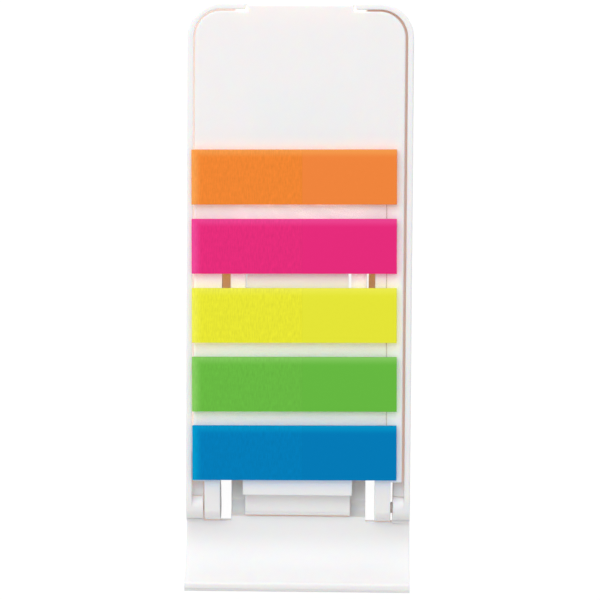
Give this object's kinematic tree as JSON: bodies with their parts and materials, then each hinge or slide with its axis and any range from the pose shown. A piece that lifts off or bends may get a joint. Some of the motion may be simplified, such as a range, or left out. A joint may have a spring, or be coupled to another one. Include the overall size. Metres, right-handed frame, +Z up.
{
  "type": "sticky notes",
  "caption": "Pads of neon film sticky notes on the hinged plate of a flat folding stand, with a curved lip and a strut behind.",
  "frame": {"origin": "middle of the stand's outline at the height of the underside, closed and lying on its back", "axes": "+Z up out of the note side, +Y from the lip along the stand to its far end, +X across it to the right"},
  "size_m": [0.0496, 0.1292, 0.011],
  "materials": {
    "white_plastic": "moulded, satin",
    "clear_film": "clear carrier film",
    "blue_film": "matte writable film",
    "green_film": "matte writable film",
    "yellow_film": "matte writable film",
    "pink_film": "matte writable film",
    "orange_film": "matte writable film"
  },
  "bodies": {
    "base": {"base_tray": "white_plastic"},
    "plate": {"rest_plate": "white_plastic", "carrier_sheet": "clear_film", "pad_blue": "blue_film", "pad_green": "green_film", "pad_yellow": "yellow_film", "pad_pink": "pink_film", "pad_orange": "orange_film"},
    "strut": {"strut": "white_plastic"}
  },
  "joints": [
    {"name": "plate_hinge", "type": "hinge", "parent": "base", "child": "plate", "pos_m": [0, -0.0467, 0.0031], "axis": [1, 0, 0], "range_deg": [0, 66]},
    {"name": "strut_hinge", "type": "hinge", "parent": "plate", "child": "strut", "pos_m": [0, -0.0007, 0.0045], "axis": [1, 0, 0], "range_deg": [-132, 0]}
  ],
  "couplings": [
    {"joint": "strut_hinge", "follows": "plate_hinge", "ratio": -2}
  ]
}
